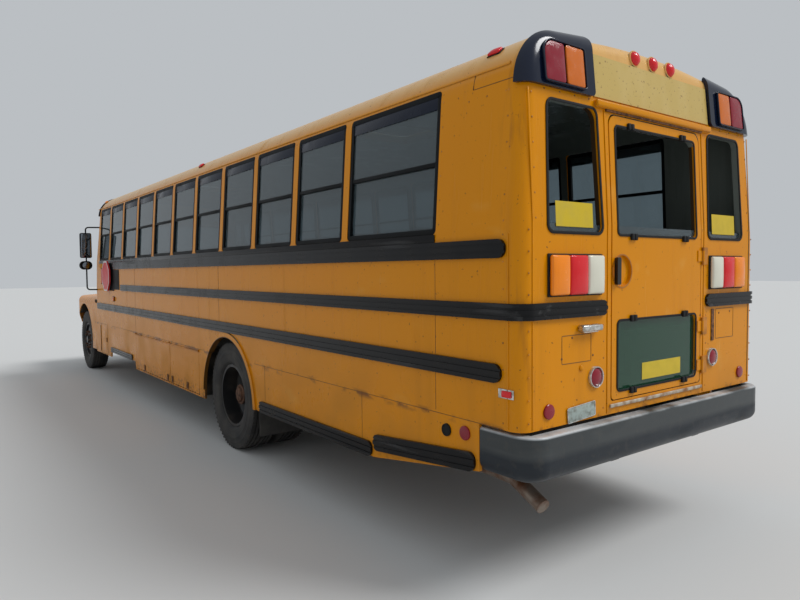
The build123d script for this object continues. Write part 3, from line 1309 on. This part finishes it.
def seat_frames():
    """Tube legs and seat rails that carry the benches on floor and wall."""
    inner, outer = bench_span()
    wall = BODY_HALF_WIDTH - WALL
    frames = []
    for rear in seat_rows():
        rail_z = CUSHION_Z - 28
        frame = block(inner + 20, wall, rear - 480, rear - 452, rail_z, CUSHION_Z)
        frame = frame + block(inner + 20, wall, rear - 150, rear - 122, rail_z, CUSHION_Z)
        for y in (rear - 480, rear - 150):
            frame = frame + block(inner + 60, inner + 88, y, y + 28, FLOOR_TOP_Z, rail_z)
        frame = frame + block(inner + 60, inner + 88, rear - 480, rear - 122, FLOOR_TOP_Z, FLOOR_TOP_Z + 12)
        for x in (inner + 60, outer - 88):
            frame = frame + block(x, x + 28, rear - 452, rear - 150, rail_z, CUSHION_Z)
            frame = frame + block(x, x + 28, rear - 122, rear - 60, rail_z, CUSHION_Z)
            frame = frame + block(x, x + 28, rear - 90, rear - 60, rail_z, CUSHION_Z + 19.7)
        frames += both_sides(frame)
    return frames


def driver_seat():
    """Driver's pedestal seat with its headrest."""
    x0, x1, y = 330, 830, BODY_FRONT_Y + 1030
    base = rounded_block(x0 + 120, x1 - 120, y - 380, y - 120, FLOOR_TOP_Z, FLOOR_TOP_Z + 330, Axis.Z, 30)
    cushion = rounded_block(x0, x1, y - 480, y - 20, FLOOR_TOP_Z + 330, FLOOR_TOP_Z + 450, Axis.X, 45)
    back = across([(y - 110, FLOOR_TOP_Z + 430, 20), (y, FLOOR_TOP_Z + 430, 20), (y + 110, FLOOR_TOP_Z + 1080, 30),
                   (y + 20, FLOOR_TOP_Z + 1080, 30)], x0, x1)
    return base + cushion + back


def dashboard():
    """Dash panel with steering column and wheel, against the cowl."""
    front = BODY_FRONT_Y + WALL
    inner = BODY_HALF_WIDTH - WALL - 90
    panel = across([(front, FLOOR_TOP_Z, 0), (front + 60, FLOOR_TOP_Z, 0), (front + 90, 1330, 30),
                    (front + 150, 1440, 40), (front, 1480, 0)], -420, inner)
    column = rod((580, front + 60, 1250), (580, front + 330, 1430), 28)
    tilt = Vector(0, 270, 180)
    plane = Plane(origin=(580, front + 330, 1430), z_dir=tilt)
    wheel = plane * Torus(225, 14)
    hub = plane * Cylinder(60, 36)
    spokes = hub
    for turn in (0, 120, 240):
        spokes = spokes + plane * (Rot(0, 0, turn) * Pos(112, 0, 0) * Box(226, 26, 12))
    return panel + column + wheel + spokes


# Moving doors and arms

HINGE_PIN = 4
HINGE_BARREL = 8
LUG_RADIUS = 6.5
ENTRY_OUTER_X = 1152
ENTRY_THICKNESS = 30
ENTRY_HINGE_X = 1160
ENTRY_HINGE_INSET = 14
ENTRY_MIDDLE_GAP = 10
ENTRY_HINGE_Z = (700, 1257, 2588)
ENTRY_BARREL_LENGTH = 60
ENTRY_PANES = (
    # low z, high z
    (455, 1215),
    (1300, 2545),
)
PANE_MARGIN_Y = 52


def entry_span(rear_leaf):
    """Front edge, rear edge and hinge line of one leaf of the entry door."""
    middle = (ENTRY_FRONT_Y + ENTRY_REAR_Y) / 2
    if rear_leaf:
        return middle + ENTRY_MIDDLE_GAP / 2, ENTRY_REAR_Y - DOOR_GAP, ENTRY_REAR_Y - ENTRY_HINGE_INSET
    return ENTRY_FRONT_Y + DOOR_GAP, middle - ENTRY_MIDDLE_GAP / 2, ENTRY_FRONT_Y + ENTRY_HINGE_INSET


def entry_pane(front_y, rear_y, low_z, high_z, margin, outer, inner):
    """A window of one leaf, smaller by the margin, between two distances from the middle of the bus."""
    return rounded_block(-outer, -inner, front_y + PANE_MARGIN_Y + margin, rear_y - PANE_MARGIN_Y - margin,
                         low_z + margin, high_z - margin, Axis.X, 40 - margin)


def entry_leaf(rear_leaf):
    """One upright leaf of the two-leaf entry door, set back from the body's side."""
    front_y, rear_y, hinge_y = entry_span(rear_leaf)
    inner = ENTRY_OUTER_X - ENTRY_THICKNESS
    leaf = block(-ENTRY_OUTER_X, -inner, front_y, rear_y, ENTRY_BOTTOM_Z + 8, ENTRY_TOP_Z - DOOR_GAP)
    for low_z, high_z in ENTRY_PANES:
        leaf = leaf - entry_pane(front_y, rear_y, low_z, high_z, 0, ENTRY_OUTER_X + 1, inner - 1)
    for z in ENTRY_HINGE_Z:
        low, high = z - ENTRY_BARREL_LENGTH / 2, z + ENTRY_BARREL_LENGTH / 2
        barrel = rod((-ENTRY_HINGE_X, hinge_y, low), (-ENTRY_HINGE_X, hinge_y, high), HINGE_BARREL)
        leaf = leaf + (barrel + block(-ENTRY_HINGE_X, -ENTRY_OUTER_X + 2, hinge_y - 6, hinge_y + 6, low, high))
    bore = rod((-ENTRY_HINGE_X, hinge_y, 0), (-ENTRY_HINGE_X, hinge_y, ENTRY_TOP_Z), HINGE_PIN + RUNNING_FIT)
    return leaf - bore


def entry_glass(rear_leaf):
    """The two panes of one leaf."""
    front_y, rear_y, _ = entry_span(rear_leaf)
    face = ENTRY_OUTER_X - 11
    return [entry_pane(front_y, rear_y, low_z, high_z, RUNNING_FIT, face, face - GLASS)
            for low_z, high_z in ENTRY_PANES]


def entry_hinges():
    """Fixed lugs with pins on both jambs of the entry opening, one below each barrel."""
    lugs = []
    for jamb_y, hinge_y in ((ENTRY_FRONT_Y, entry_span(False)[2]), (ENTRY_REAR_Y, entry_span(True)[2])):
        away = 1 if hinge_y > jamb_y else -1
        low_y, high_y = sorted((jamb_y, hinge_y))
        plate_low_y, plate_high_y = sorted((jamb_y, jamb_y + away * (DOOR_GAP - 1)))
        for z in ENTRY_HINGE_Z:
            top = z - ENTRY_BARREL_LENGTH / 2 - 2
            wall_x = BODY_HALF_WIDTH - 6 - LEAN * max(0, z - SILL_Z)
            lug = block(-ENTRY_HINGE_X - LUG_RADIUS, -ENTRY_HINGE_X + LUG_RADIUS, low_y, high_y, top - 20, top)
            lug = lug + rod((-ENTRY_HINGE_X, hinge_y, top - 20), (-ENTRY_HINGE_X, hinge_y, top), LUG_RADIUS)
            lug = lug + block(-wall_x, -ENTRY_HINGE_X + LUG_RADIUS, plate_low_y, plate_high_y, top - 20, top)
            lugs.append(lug + rod((-ENTRY_HINGE_X, hinge_y, top), (-ENTRY_HINGE_X, hinge_y, top + 40), HINGE_PIN))
    return lugs


STORAGE_HINGE_X = BODY_HALF_WIDTH + 5
STORAGE_HINGE_Z = STORAGE_TOP_Z - 8
STORAGE_BARREL = 7


def storage_door(front_y, rear_y):
    """A side storage door that fills its opening in the skirt and hangs on a long top hinge."""
    outer, x, z = BODY_HALF_WIDTH, STORAGE_HINGE_X, STORAGE_HINGE_Z
    front_y, rear_y = front_y + DOOR_GAP, rear_y - DOOR_GAP
    door = rounded_block(outer - SKIRT_THICKNESS, outer, front_y, rear_y, STORAGE_BOTTOM_Z + DOOR_GAP,
                         STORAGE_TOP_Z - 2 * DOOR_GAP, Axis.X, 8)
    door = door + rod((x, front_y, z), (x, rear_y, z), STORAGE_BARREL)
    door = door + block(outer - 4, outer + 3, front_y + 10, rear_y - 10, z - 10, z - 3)
    return door - rod((x, front_y - 1, z), (x, rear_y + 1, z), HINGE_PIN + RUNNING_FIT)


def storage_hinges():
    """Fixed lugs with pins at the ends of the storage doors and between them."""
    x, z = STORAGE_HINGE_X, STORAGE_HINGE_Z
    lugs = []
    for y in (STORAGE_FRONT_Y, STORAGE_SPLIT_Y, STORAGE_REAR_Y):
        lug = block(BODY_HALF_WIDTH, x + STORAGE_BARREL, y - 3, y + 3, z - 6, BODY_BOTTOM_Z - 1)
        pin_front = y - 30 if y > STORAGE_FRONT_Y else y
        pin_rear = y + 30 if y < STORAGE_REAR_Y else y
        lugs.append(lug + rod((x, pin_front, z), (x, pin_rear, z), HINGE_PIN))
    return lugs


def storage_box():
    """Open-sided box behind the storage doors, hung from the floor sills."""
    outer = BODY_HALF_WIDTH - SKIRT_THICKNESS - 10
    inner = outer - STORAGE_DEPTH
    front, rear, wall = STORAGE_FRONT_Y - 20, STORAGE_REAR_Y + 20, 6
    low, high = STORAGE_BOTTOM_Z - 12, FRAME_TOP_Z
    box = block(inner, outer, front, rear, low, high)
    return box - block(inner + wall, outer + 1, front + wall, rear - wall, low + wall, high - wall)


REAR_HINGE_X = -490
REAR_HINGE_Y = BODY_REAR_Y + 9
REAR_HINGE_Z = (1080, 1331, 1780)
REAR_KNUCKLE_HALF = 34
REAR_HINGE_HALF = 55
HANDLE_X = 378
HANDLE_Z = 1691
HANDLE_RADIUS = 88
HANDLE_RIM = 8
LEVER_X = 436
LEVER_HALF_WIDTH = 17
LEVER_HALF_HEIGHT = 76


def rear_door_leaf():
    """Rear emergency door: leaf that leans at the top, with two window openings and a handle recess."""
    leaf = shell_layer(0, REAR_DOOR_THICKNESS)
    leaf = leaf & along(rear_door_corners(DOOR_GAP, REAR_DOOR_FREE_GAP), REAR_SPLIT_Y, BODY_REAR_Y + 50)
    for opening in rear_door_windows(0):
        leaf = leaf - opening
    leaf = leaf - rod((HANDLE_X, BODY_REAR_Y - 16, HANDLE_Z), (HANDLE_X, BODY_REAR_Y + 1, HANDLE_Z), HANDLE_RADIUS)
    for z in REAR_HINGE_Z:
        low, high = z - REAR_KNUCKLE_HALF, z + REAR_KNUCKLE_HALF
        leaf = leaf + block(REAR_HINGE_X, REAR_HINGE_X + 55, BODY_REAR_Y + 1, BODY_REAR_Y + 6, low, high)
        leaf = leaf + block(REAR_HINGE_X + 20, REAR_HINGE_X + 55, BODY_REAR_Y - 2, BODY_REAR_Y + 6, low, high)
        leaf = leaf + rod((REAR_HINGE_X, REAR_HINGE_Y, low), (REAR_HINGE_X, REAR_HINGE_Y, high), HINGE_BARREL)
    return leaf - rod((REAR_HINGE_X, REAR_HINGE_Y, REAR_DOOR_BOTTOM_Z), (REAR_HINGE_X, REAR_HINGE_Y, SILL_Z),
                      HINGE_PIN + RUNNING_FIT)


def rear_hinges():
    """Fixed half of each rear door hinge: strap on the wall, two knuckles and the pin."""
    hinges = []
    for z in REAR_HINGE_Z:
        low, high = z - REAR_HINGE_HALF, z + REAR_HINGE_HALF
        hinge = block(REAR_HINGE_X - 62, REAR_HINGE_X - 12, BODY_REAR_Y, BODY_REAR_Y + 6, low, high)
        hinge = hinge + rod((REAR_HINGE_X, REAR_HINGE_Y, low), (REAR_HINGE_X, REAR_HINGE_Y, high), HINGE_PIN)
        for start, end in ((low, z - REAR_KNUCKLE_HALF - 1), (z + REAR_KNUCKLE_HALF + 1, high)):
            hinge = hinge + rod((REAR_HINGE_X, REAR_HINGE_Y, start), (REAR_HINGE_X, REAR_HINGE_Y, end), HINGE_BARREL)
            hinge = hinge + block(REAR_HINGE_X - 20, REAR_HINGE_X, BODY_REAR_Y, BODY_REAR_Y + 6, start, end)
        hinges.append(hinge)
    return hinges


def rear_handle():
    """Thin rim round the recess in the rear door, with an upright lever across its free side."""
    y = BODY_REAR_Y
    start, middle, end = (HANDLE_X, y, HANDLE_Z), (HANDLE_X, y - 1, HANDLE_Z), (HANDLE_X, y + 3, HANDLE_Z)
    rim = rod(start, end, HANDLE_RADIUS + HANDLE_RIM) - rod(middle, (HANDLE_X, y + 5, HANDLE_Z), HANDLE_RADIUS)
    lever = rounded_block(LEVER_X - LEVER_HALF_WIDTH, LEVER_X + LEVER_HALF_WIDTH, y + 0.5, y + 24,
                          HANDLE_Z - LEVER_HALF_HEIGHT, HANDLE_Z + LEVER_HALF_HEIGHT, Axis.Y, 12)
    return rim + lever


def rear_door_windows(margin):
    """Cutters for the door's upper and lower window."""
    half = 420 - margin
    return [rounded_block(-half, half, REAR_SPLIT_Y - 100, BODY_REAR_Y + 100, low + margin, high - margin, Axis.Y,
                          50 - margin) for low, high in ((SILL_Z + 5, 2500), (1015, 1415))]


def rear_door_glass():
    """The door's two panes."""
    layer = shell_layer(REAR_GLASS_SET, REAR_GLASS_SET + GLASS)
    return [layer & window & block(-500, 500, REAR_SPLIT_Y, BODY_REAR_Y + 50, 0, 3000)
            for window in rear_door_windows(0)]


STOP_CENTRE_Y = BODY_FRONT_Y + 970
STOP_CENTRE_Z = 1661
STOP_SIZE = 457
STOP_HINGE_Y = STOP_CENTRE_Y - 270
STOP_ARM_X = BODY_HALF_WIDTH + RAIL_PROUD + 12
STOP_HINGE_X = STOP_ARM_X + 9
STOP_BARREL = 14
STOP_PIN = 5
STOP_BARREL_HALF = 110
STOP_PLATES = (
    # front y, rear y, low z, high z
    (STOP_CENTRE_Y - 330, STOP_CENTRE_Y + 316, 1440, 1880),
    (STOP_CENTRE_Y + 316, STOP_CENTRE_Y + 621, 1460, 1757),
)
STOP_PLATE_THICKNESS = 4


def stop_arm():
    """Octagonal stop paddle with its hinge arm, stowed flat along the left side."""
    radius = STOP_SIZE / 2 / math.cos(math.radians(22.5))
    outer, x, y, z = STOP_ARM_X, STOP_HINGE_X, STOP_HINGE_Y, STOP_CENTRE_Z
    plane = Plane(origin=(outer, STOP_CENTRE_Y, z), x_dir=(0, 1, 0), z_dir=(1, 0, 0))
    arm = extrude(plane * (Rot(0, 0, 22.5) * RegularPolygon(radius, 8)), amount=22)
    for offset in (-90, 90):
        arm = arm + block(outer, outer + 18, y, STOP_CENTRE_Y - 150, z + offset - 14, z + offset + 14)
    arm = arm + rod((x, y, z - STOP_BARREL_HALF), (x, y, z + STOP_BARREL_HALF), STOP_BARREL)
    return arm - rod((x, y, z - STOP_BARREL_HALF - 1), (x, y, z + STOP_BARREL_HALF + 1), STOP_PIN + RUNNING_FIT)


def stop_arm_mount():
    """Black mounting panel on the left side with the two lugs and the pin of the stop arm."""
    x, y, z = STOP_HINGE_X, STOP_HINGE_Y, STOP_CENTRE_Z
    face = BODY_HALF_WIDTH + STOP_PLATE_THICKNESS
    mount = None
    for front_y, rear_y, low_z, high_z in STOP_PLATES:
        plate = block(BODY_HALF_WIDTH, face, front_y, rear_y, low_z, high_z)
        mount = plate if mount is None else mount + plate
    for side in (-1, 1):
        low, high = sorted((z + side * (STOP_BARREL_HALF + 2), z + side * (STOP_BARREL_HALF + 14)))
        mount = mount + block(face - 1, x + STOP_BARREL, y - STOP_BARREL, y + STOP_BARREL, low, high)
    reach = STOP_BARREL_HALF + 14
    return mount + rod((x, y, z - reach), (x, y, z + reach), STOP_PIN)


HATCH_HINGE_X = 180
HATCH_HINGE_OUT = 8
HATCH_LID_Z = CROWN_APEX_Z - 2
HATCH_HINGE_Z = HATCH_LID_Z + 4
HATCH_BARREL = 7


def hatch_hinge_y(centre_y):
    """The hinge line behind a hatch's rear edge."""
    return centre_y + HATCH_LENGTH / 2 + HATCH_CURB + HATCH_HINGE_OUT


def hatch_hinges():
    """Fixed lugs with pins behind both roof hatches."""
    lugs = []
    for centre_y in HATCH_Y:
        y, z = hatch_hinge_y(centre_y), HATCH_HINGE_Z
        low, high = HATCH_HINGE_X + 32, HATCH_HINGE_X + 44
        lug = block(low, high, y - HATCH_HINGE_OUT, y + LUG_RADIUS, z - 22, CROWN_APEX_Z - HATCH_CURB_DROP)
        lug = lug + block(low, high, y - LUG_RADIUS, y + LUG_RADIUS, CROWN_APEX_Z - HATCH_CURB_DROP, z)
        lug = lug + rod((low, y, z), (high, y, z), LUG_RADIUS)
        lug = lug + rod((high, y, z), (HATCH_HINGE_X - 25, y, z), HINGE_PIN)
        lugs += both_sides(lug)
    return lugs


def roof_hatch(centre_y):
    """Shallow domed roof hatch over its curb."""
    low = HATCH_LID_Z
    lid = hatch_block(centre_y, -HATCH_CURB, low, low + HATCH_RAISE)
    top = lid.faces().sort_by(Axis.Z)[-1]
    lid = fillet(top.edges(), 14)
    y, z = hatch_hinge_y(centre_y), HATCH_HINGE_Z
    for side in (-1, 1):
        start, end = sorted((side * (HATCH_HINGE_X - 30), side * (HATCH_HINGE_X + 30)))
        lid = lid + rod((start, y, z), (end, y, z), HATCH_BARREL) + block(start, end, y - 14, y, low, z + 5)
        lid = lid - rod((start - 1, y, z), (end + 1, y, z), HINGE_PIN + RUNNING_FIT)
    return lid


def door_hinges():
    """All fixed hinge lugs and pins on the body."""
    return entry_hinges() + storage_hinges() + rear_hinges() + hatch_hinges()


# Export

def save(name, shape):
    """Writes one node as STEP, as one compound if it has several solids."""
    if isinstance(shape, list):
        shape = Compound(children=[Compound(children=list(item.solids())) if len(item.solids()) > 1
                                   else item.solids()[0] for item in shape])
    export_step(shape, f"parts/{name}.step")


def build():
    """Makes every piece of the bus by name."""
    shell = shell_layer(0, WALL)
    nodes = {
        "frame_rails": ladder_frame(),
        "floor": floor_panel(),
        "wheelhouses": wheelhouses(),
        "side_walls": [arch_in_wall(side_wall(shell, side), side) for side in (1, -1)],
        "roof": roof_panel(shell),
        "rear_wall": rear_cap(shell),
        "front_wall": front_cap(shell),
        "skirts": [skirt(1), skirt(-1)],
        "rub_rails": rub_rails(),
        "corner_rails": corner_rails(),
        "window_frames": window_frames(),
        "side_glass": side_glass(),
        "end_glass": end_glass(),
        "front_bumper": front_bumper(),
        "rear_bumper": rear_bumper(),
        "lamp_pods": lamp_pods(),
        "body_lamps": rear_lamps() + warning_lenses() + marker_lamps(),
        "header_signs": header_signs(),
        "bench_seats": seat_cushions() + seat_backs(),
        "seat_frames": seat_frames(),
        "driver_seat": driver_seat(),
        "dashboard": dashboard(),
        "engine": engine(),
        "radiator": radiator(),
        "drive_shaft": drive_shaft(),
        "front_axle": front_axle(),
        "rear_axle": rear_axle(),
        "fuel_tank": fuel_tank(),
        "exhaust": exhaust(),
        "entry_steps": entry_steps(),
        "storage_box": storage_box(),
        "hood": hood_shell(),
        "grille": grille(),
        "headlamps": headlamps(),
        "entry_door_front": entry_leaf(False),
        "entry_door_rear": entry_leaf(True),
        "entry_glass_front": entry_glass(False),
        "entry_glass_rear": entry_glass(True),
        "rear_door": rear_door_leaf(),
        "rear_door_glass": rear_door_glass(),
        "rear_handle": rear_handle(),
        "stop_arm": stop_arm(),
        "stop_arm_mount": stop_arm_mount(),
        "door_hinges": door_hinges(),
        "mirrors": mirrors(),
        "mud_flaps": mud_flaps(),
        "storage_door_front": storage_door(STORAGE_FRONT_Y, STORAGE_SPLIT_Y),
        "storage_door_rear": storage_door(STORAGE_SPLIT_Y, STORAGE_REAR_Y),
        "roof_hatch_front": roof_hatch(HATCH_Y[0]),
        "roof_hatch_rear": roof_hatch(HATCH_Y[1]),
    }
    for side, name in ((1, "left"), (-1, "right")):
        inner_x = DUAL_OUTER_X - DUAL_SPACING
        nodes[f"knuckle_{name}"] = knuckle(side)
        nodes[f"front_tyre_{name}"] = tyre(side * FRONT_WHEEL_X, FRONT_AXLE_Y)
        nodes[f"front_rim_{name}"] = front_rim(side)
        nodes[f"rear_tyres_{name}"] = [tyre(side * DUAL_OUTER_X, REAR_AXLE_Y), tyre(side * inner_x, REAR_AXLE_Y)]
        nodes[f"rear_rims_{name}"] = rear_rims(side)
    return nodes


if __name__ == "__main__":
    os.makedirs("parts", exist_ok=True)
    for node_name, node_shape in build().items():
        save(node_name, node_shape)
